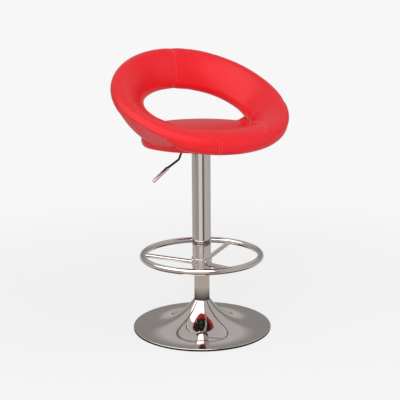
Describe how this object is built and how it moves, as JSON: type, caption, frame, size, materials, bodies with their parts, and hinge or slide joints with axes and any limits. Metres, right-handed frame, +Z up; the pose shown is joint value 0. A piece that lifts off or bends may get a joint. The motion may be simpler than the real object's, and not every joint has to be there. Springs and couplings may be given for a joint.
{
  "type": "counter stool",
  "caption": "Height-adjustable counter stool: padded seat in a rising padded ring, chrome column on a trumpet base, round footrest, release lever.",
  "frame": {"origin": "middle of the base on the floor, on the column's axis", "axes": "+Z up along the column; the seat faces -Y; the lever is on the sitter's right, at -X"},
  "size_m": [0.5744, 0.4924, 0.8988],
  "materials": {
    "chrome_plate": "polished chrome plate on steel",
    "black_enamel": "gloss black enamel on steel",
    "zinc_steel": "bright zinc-plated steel",
    "black_rubber": "moulded black rubber",
    "black_nylon": "moulded black nylon",
    "bare_aluminium": "turned aluminium",
    "lining_cloth": "black non-woven lining cloth",
    "plywood": "bare birch plywood",
    "red_upholstery": "red vinyl-coated upholstery cloth over foam, smooth with a fine grain"
  },
  "bodies": {
    "base": {"base_dish": "chrome_plate", "base_edge_ring": "black_rubber", "base_plate": "black_enamel", "base_socket": "black_enamel", "base_bolts": "zinc_steel", "column_tube": "chrome_plate", "column_end_plate": "zinc_steel", "column_bush": "black_nylon", "bearing_lower_race": "zinc_steel"},
    "spindle": {"piston_rod": "zinc_steel", "rod_clip": "zinc_steel", "rod_washer": "zinc_steel", "buffer_washer": "black_rubber", "piston": "bare_aluminium", "piston_ring": "black_rubber", "bearing_upper_race": "zinc_steel"},
    "bearing_cage": {"bearing_cage": "black_nylon", "bearing_balls": "zinc_steel"},
    "seat": {"gas_cylinder": "black_enamel", "cylinder_end_plug": "bare_aluminium", "rod_seal": "black_rubber", "shroud_tube": "chrome_plate", "shroud_bush": "black_nylon", "shroud_cap": "black_nylon", "footrest_ring": "chrome_plate", "footrest_hub": "chrome_plate", "footrest_spoke_1": "chrome_plate", "footrest_spoke_2": "chrome_plate", "footrest_spoke_3": "chrome_plate", "hub_grub_screws": "zinc_steel", "seat_plate": "black_enamel", "plate_socket": "black_enamel", "lever_bracket": "black_enamel", "lever_pivot_pin": "zinc_steel", "dust_cover": "lining_cloth", "seat_board": "plywood", "plate_washers": "zinc_steel", "plate_bolts": "zinc_steel", "tee_nuts": "zinc_steel", "seat_frame": "zinc_steel", "frame_screws": "zinc_steel", "ring_pad": "red_upholstery", "edge_roll": "red_upholstery", "seat_cushion": "red_upholstery", "side_wall_left": "red_upholstery", "side_wall_right": "red_upholstery"},
    "lever": {"lever_hub": "black_enamel", "lever_rod": "black_enamel", "lever_grip": "chrome_plate"},
    "release_pin": {"release_pin": "zinc_steel"}
  },
  "joints": [
    {"name": "seat_swivel", "type": "hinge", "parent": "base", "child": "spindle", "pos_m": [0, 0, 0], "axis": [0, 0, 1], "continuous": true},
    {"name": "cage_turn", "type": "hinge", "parent": "base", "child": "bearing_cage", "pos_m": [0, 0, 0], "axis": [0, 0, 1], "continuous": true},
    {"name": "seat_height", "type": "slide", "parent": "spindle", "child": "seat", "axis": [0, 0, 1], "range_m": [-0.092, 0.11]},
    {"name": "lever_lift", "type": "hinge", "parent": "seat", "child": "lever", "pos_m": [-0.038, 0, 0.602], "axis": [0, 1, 0], "range_deg": [0, 5], "stiffness_Nm_per_rad": 1},
    {"name": "pin_press", "type": "slide", "parent": "seat", "child": "release_pin", "axis": [0, 0, -1], "range_m": [0, 0.0037]}
  ],
  "couplings": [
    {"joint": "cage_turn", "follows": "seat_swivel", "ratio": 0.5},
    {"joint": "pin_press", "follows": "lever_lift", "m_per_rad": 0.042}
  ]
}
